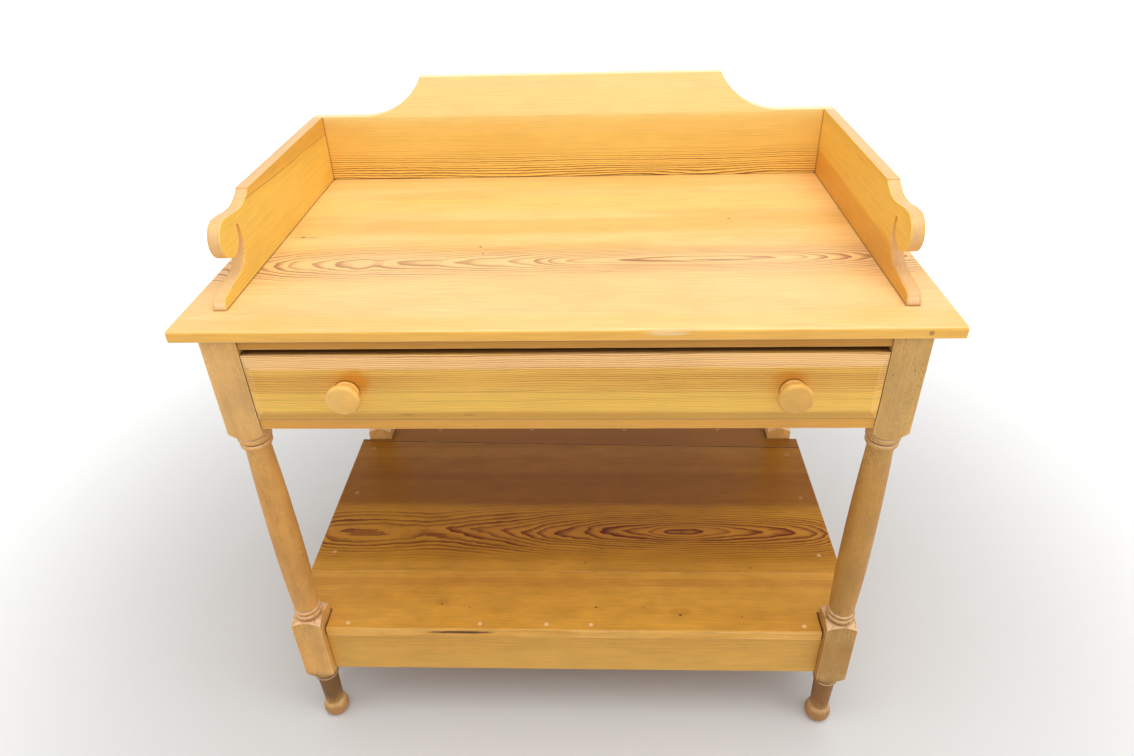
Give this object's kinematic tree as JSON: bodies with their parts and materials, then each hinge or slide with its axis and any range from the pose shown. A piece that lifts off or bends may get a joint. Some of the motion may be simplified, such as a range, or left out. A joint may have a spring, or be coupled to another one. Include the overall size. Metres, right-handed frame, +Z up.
{
  "type": "washstand",
  "caption": "Pine washstand with a scrolled gallery round its top, a fielded drawer with turned wooden knobs, turned legs and a low pot shelf.",
  "frame": {"origin": "on the floor, under the middle of the bounding box of the whole part, knobs included", "axes": "+X to the right of a person facing the drawer, -Y out of the drawer front towards that person, +Z up"},
  "size_m": [0.914, 0.551, 0.92],
  "materials": {
    "pine_top": "waxed, satin",
    "pine_front": "waxed, satin",
    "pine_frame": "waxed, matte",
    "pine_shelf": "waxed, matte",
    "pine_inside": "bare, matte",
    "steel": "dull, aged"
  },
  "bodies": {
    "carcass": {"apron_back": "pine_frame", "apron_left": "pine_frame", "apron_right": "pine_frame", "drawer_guide_left": "pine_inside", "drawer_guide_right": "pine_inside", "drawer_kicker_left": "pine_inside", "drawer_kicker_right": "pine_inside", "drawer_rail_lower": "pine_frame", "drawer_rail_upper": "pine_frame", "drawer_runner_left": "pine_inside", "drawer_runner_right": "pine_inside", "drawer_stops": "pine_inside", "gallery_back": "pine_frame", "gallery_nails": "steel", "gallery_screws": "steel", "gallery_side_left": "pine_frame", "gallery_side_right": "pine_frame", "glue_blocks": "pine_inside", "leg_back_left": "pine_frame", "leg_back_right": "pine_frame", "leg_front_left": "pine_frame", "leg_front_right": "pine_frame", "shelf_board_back": "pine_shelf", "shelf_board_front": "pine_shelf", "shelf_board_middle": "pine_shelf", "shelf_nails": "steel", "shelf_rail_back": "pine_frame", "shelf_rail_front": "pine_frame", "shelf_rail_left": "pine_frame", "shelf_rail_right": "pine_frame", "top_board_back": "pine_top", "top_board_main": "pine_top", "top_screws": "steel"},
    "drawer": {"drawer_front": "pine_front", "drawer_side_left": "pine_inside", "drawer_side_right": "pine_inside", "drawer_back": "pine_inside", "drawer_bottom": "pine_inside", "drawer_knob_left": "pine_front", "drawer_knob_right": "pine_front", "drawer_bottom_nails": "steel"}
  },
  "joints": [
    {"name": "drawer_slide", "type": "slide", "parent": "carcass", "child": "drawer", "axis": [0, -1, 0], "range_m": [0, 0.36]}
  ]
}
